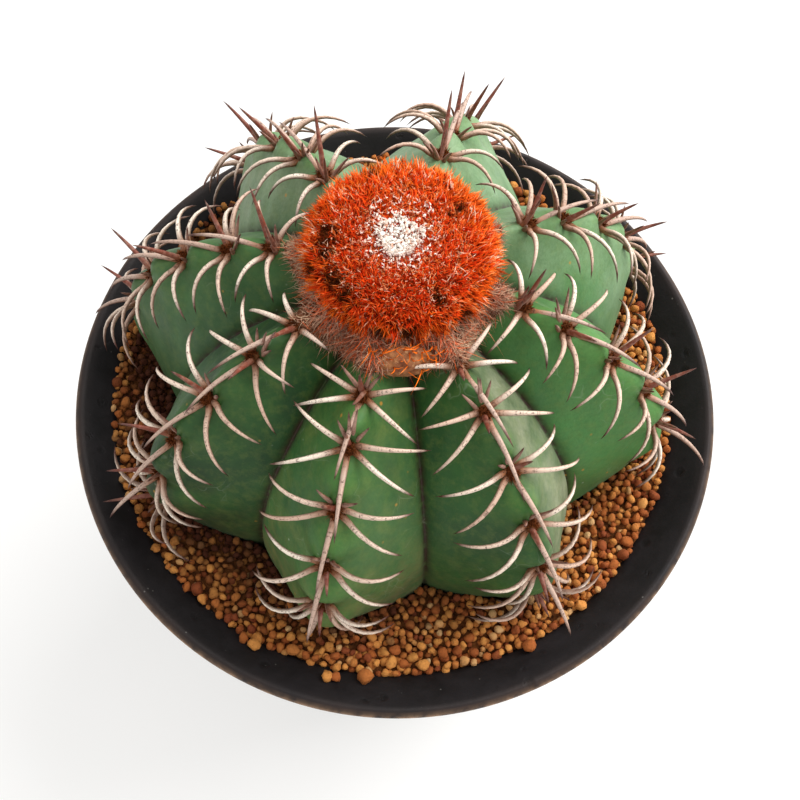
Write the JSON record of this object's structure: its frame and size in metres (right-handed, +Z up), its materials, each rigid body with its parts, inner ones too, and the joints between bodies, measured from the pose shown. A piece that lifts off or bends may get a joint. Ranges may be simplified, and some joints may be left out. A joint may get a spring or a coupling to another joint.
{
  "type": "potted turk's-cap cactus",
  "caption": "Ribbed globular cactus with clawed spines and a woolly orange bristle cap, growing in grainy soil in a tapered round matt black pot.",
  "frame": {"origin": "centre of the pot's foot, on the surface that it stands on", "axes": "+Z up along the pot's axis, -Y towards the front of the picture, +X to its right"},
  "size_m": [0.12, 0.12, 0.1349],
  "materials": {
    "pot_glaze": "matt black glaze, smooth, faintly pitted",
    "soil_grains": "rough rounded grains of baked clay, dry and partly damp",
    "stem_skin": "waxy green skin with ivory and rust-brown spines",
    "cap_bristles": "dense orange-red bristles in wool, white at the centre"
  },
  "bodies": {
    "root": {"pot": "pot_glaze", "soil": "soil_grains", "stem": "stem_skin", "cephalium": "cap_bristles"}
  },
  "joints": []
}
